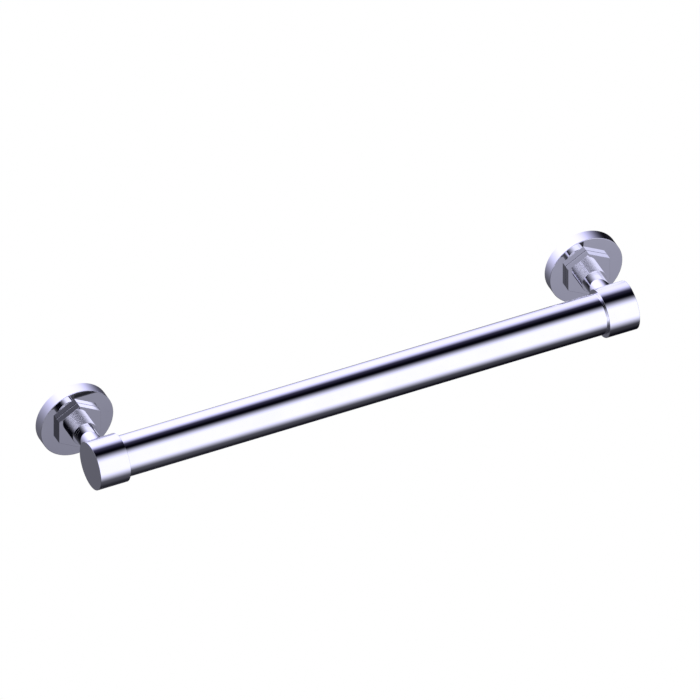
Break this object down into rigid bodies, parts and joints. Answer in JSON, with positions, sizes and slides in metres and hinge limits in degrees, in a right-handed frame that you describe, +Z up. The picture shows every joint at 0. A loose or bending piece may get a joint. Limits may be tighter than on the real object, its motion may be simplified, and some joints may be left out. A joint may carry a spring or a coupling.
{
  "type": "grab bar",
  "caption": "Straight polished chrome grab bar: round tube with wider flat end caps, on round posts with knurled collars, hexagon nuts and round wall flanges.",
  "frame": {"origin": "on the wall plane, midway between the two flange centres", "axes": "+X along the bar, +Y into the wall, +Z up; the bar stands off the wall towards -Y"},
  "size_m": [0.4772, 0.0781, 0.0594],
  "materials": {
    "polished_chrome": "mirror polished",
    "bare_steel": "plain machined",
    "raw_brass": "as turned"
  },
  "bodies": {
    "root": {"bar_tube": "polished_chrome", "left_end_cap": "polished_chrome", "left_post": "polished_chrome", "left_knurled_collar": "polished_chrome", "left_hex_nut": "polished_chrome", "left_flange": "polished_chrome", "left_wall_plate": "bare_steel", "left_stud": "bare_steel", "left_tube_plug": "raw_brass", "right_end_cap": "polished_chrome", "right_post": "polished_chrome", "right_knurled_collar": "polished_chrome", "right_hex_nut": "polished_chrome", "right_flange": "polished_chrome", "right_wall_plate": "bare_steel", "right_stud": "bare_steel", "right_tube_plug": "raw_brass", "set_screws": "bare_steel"}
  },
  "joints": []
}
